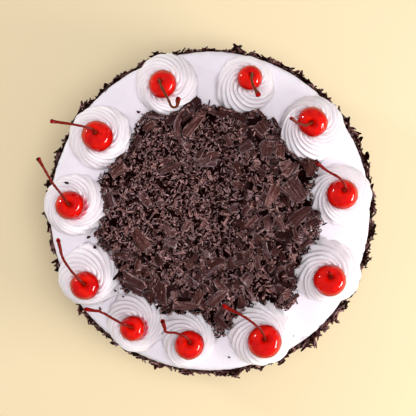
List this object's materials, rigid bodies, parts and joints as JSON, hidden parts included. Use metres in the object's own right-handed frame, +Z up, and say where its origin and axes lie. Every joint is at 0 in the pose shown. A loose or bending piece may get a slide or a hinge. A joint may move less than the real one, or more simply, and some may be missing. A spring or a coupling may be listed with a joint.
{
  "type": "black forest cake",
  "caption": "Whole round black forest cake under whipped cream, with chocolate shavings on its side and top, and piped rosettes round the rim that each hold a cherry with its stem.",
  "frame": {"origin": "centre of the cake's flat base", "axes": "+Z up, from the base to the rosettes; +Y towards the space between the two rosettes at the back"},
  "size_m": [0.2193, 0.2191, 0.1294],
  "materials": {
    "cream": "soft satin whipped cream",
    "chocolate": "dull dark chocolate with dusty edges",
    "cherry": "wet glossy red",
    "stem": "smooth stalk, olive brown to dark red"
  },
  "bodies": {
    "root": {"cake_body": "cream", "side_shavings": "chocolate", "chocolate_shavings": "chocolate", "rosette_01": "cream", "cherry_01": "cherry", "stem_01": "stem", "rosette_02": "cream", "cherry_02": "cherry", "stem_02": "stem", "rosette_03": "cream", "cherry_03": "cherry", "stem_03": "stem", "rosette_04": "cream", "cherry_04": "cherry", "stem_04": "stem", "rosette_05": "cream", "cherry_05": "cherry", "stem_05": "stem", "rosette_06": "cream", "cherry_06": "cherry", "stem_06": "stem", "rosette_07": "cream", "cherry_07": "cherry", "stem_07": "stem", "rosette_08": "cream", "cherry_08": "cherry", "stem_08": "stem", "rosette_09": "cream", "cherry_09": "cherry", "stem_09": "stem", "rosette_10": "cream", "cherry_10": "cherry", "stem_10": "stem", "rosette_11": "cream", "cherry_11": "cherry", "stem_11": "stem"}
  },
  "joints": []
}
